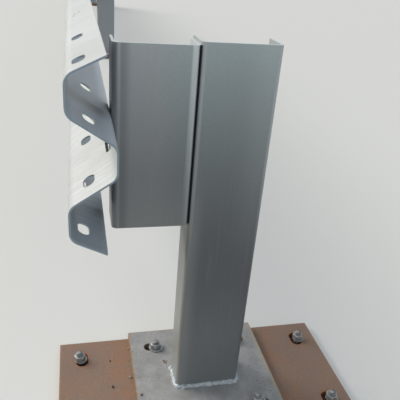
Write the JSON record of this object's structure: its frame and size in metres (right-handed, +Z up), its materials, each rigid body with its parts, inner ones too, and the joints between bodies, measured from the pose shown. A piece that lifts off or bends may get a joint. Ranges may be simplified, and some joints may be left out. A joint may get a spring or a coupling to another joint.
{
  "type": "highway guardrail section",
  "caption": "W-beam guardrail in bays: slotted galvanised rail on channel spacers and channel posts, each welded to a bolted base plate on a wider anchor plate.",
  "frame": {"origin": "centre of the underside of the first anchor plate, at the rail's free near end", "axes": "+Y along the rail away from its near end, +X from the traffic side to the field side, +Z up"},
  "size_m": [0.676, 8.355, 0.823],
  "materials": {
    "rail_zinc": "hot-dip galvanised, weathered pale",
    "post_zinc": "hot-dip galvanised, dull grey",
    "base_plate_steel": "galvanised plate with rusty edges",
    "rusty_plate": "dry brown rust",
    "zinc_bolts": "bright zinc plated",
    "weld": "bright weld bead"
  },
  "bodies": {
    "root": {"anchor_plate_1": "rusty_plate", "anchor_bolts_1": "zinc_bolts", "anchor_washers_1": "zinc_bolts", "base_plate_1": "base_plate_steel", "base_bolts_1": "zinc_bolts", "base_washers_1": "zinc_bolts", "post_1": "post_zinc", "post_weld_1": "weld", "spacer_1": "post_zinc", "spacer_bolts_1": "zinc_bolts", "rail_bolt_1": "zinc_bolts", "anchor_plate_2": "rusty_plate", "anchor_bolts_2": "zinc_bolts", "anchor_washers_2": "zinc_bolts", "base_plate_2": "base_plate_steel", "base_bolts_2": "zinc_bolts", "base_washers_2": "zinc_bolts", "post_2": "post_zinc", "post_weld_2": "weld", "spacer_2": "post_zinc", "spacer_bolts_2": "zinc_bolts", "rail_bolt_2": "zinc_bolts", "anchor_plate_3": "rusty_plate", "anchor_bolts_3": "zinc_bolts", "anchor_washers_3": "zinc_bolts", "base_plate_3": "base_plate_steel", "base_bolts_3": "zinc_bolts", "base_washers_3": "zinc_bolts", "post_3": "post_zinc", "post_weld_3": "weld", "spacer_3": "post_zinc", "spacer_bolts_3": "zinc_bolts", "rail_bolt_3": "zinc_bolts", "rail_panel_1": "rail_zinc", "rail_panel_2": "rail_zinc", "splice_bolts_1": "zinc_bolts"}
  },
  "joints": []
}
